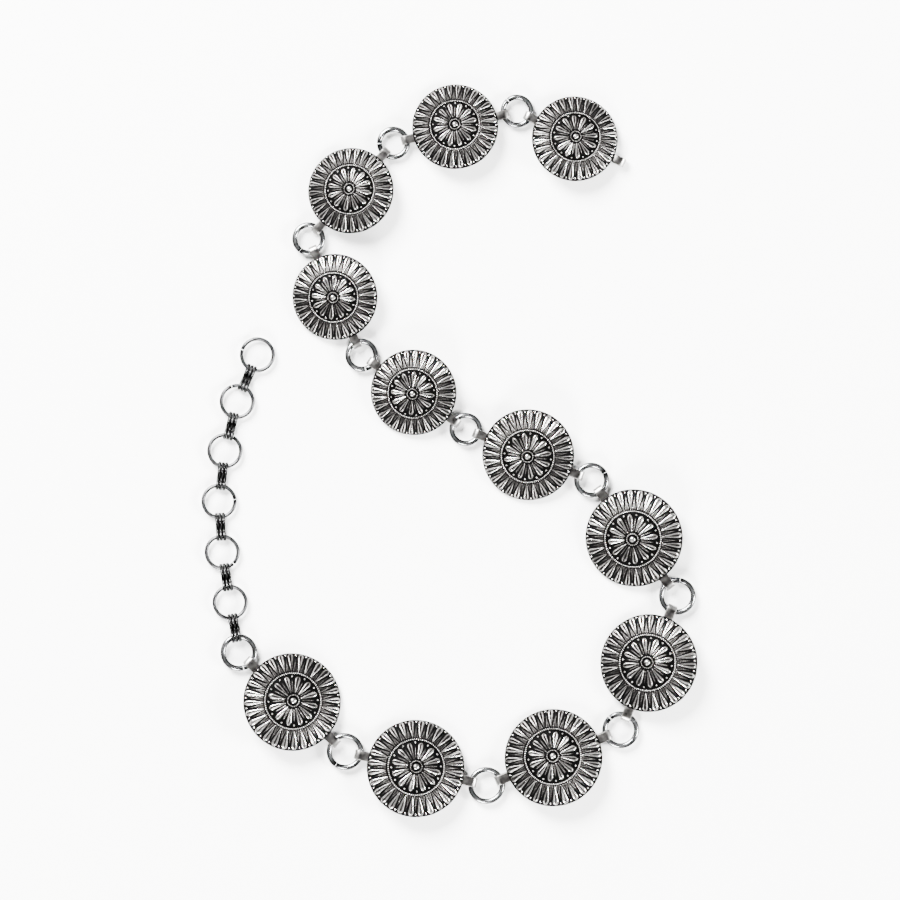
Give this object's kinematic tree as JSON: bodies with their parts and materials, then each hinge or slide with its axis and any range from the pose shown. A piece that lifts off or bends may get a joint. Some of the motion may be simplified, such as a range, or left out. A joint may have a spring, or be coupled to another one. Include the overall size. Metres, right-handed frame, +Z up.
{
  "type": "concho belt",
  "caption": "Metal chain belt of round domed conchos with petal relief, joined by rings, with a hook strap and an extender chain of thin rings and triple wire links.",
  "frame": {"origin": "on the table, under the middle of the outline of the belt as it lies", "axes": "+Z up off the table, +Y the long way of the lay towards the hook end, +X to the right seen from above"},
  "size_m": [0.2624, 0.3872, 0.0143],
  "materials": {
    "antique_casting": "antique silver plate on a zinc casting, near-black in the recesses, burnished on the relief",
    "bright_wire": "polished plated steel wire",
    "dark_wire": "plated wire, oxidised dark at the waist"
  },
  "bodies": {
    "root": {"concho_01": "antique_casting", "concho_02": "antique_casting", "concho_03": "antique_casting", "concho_04": "antique_casting", "concho_05": "antique_casting", "concho_06": "antique_casting", "concho_07": "antique_casting", "concho_08": "antique_casting", "concho_09": "antique_casting", "concho_10": "antique_casting", "concho_11": "antique_casting", "joining_ring_01": "bright_wire", "joining_ring_02": "bright_wire", "joining_ring_03": "bright_wire", "joining_ring_04": "bright_wire", "joining_ring_05": "bright_wire", "joining_ring_06": "bright_wire", "joining_ring_07": "bright_wire", "joining_ring_08": "bright_wire", "joining_ring_09": "bright_wire", "joining_ring_10": "bright_wire", "joining_ring_11": "bright_wire", "extender_ring_01": "bright_wire", "extender_ring_02": "bright_wire", "extender_ring_03": "bright_wire", "extender_ring_04": "bright_wire", "extender_ring_05": "bright_wire", "extender_ring_06": "bright_wire", "triple_link_01": "dark_wire", "triple_link_02": "dark_wire", "triple_link_03": "dark_wire", "triple_link_04": "dark_wire", "triple_link_05": "dark_wire", "triple_link_06": "dark_wire"}
  },
  "joints": []
}
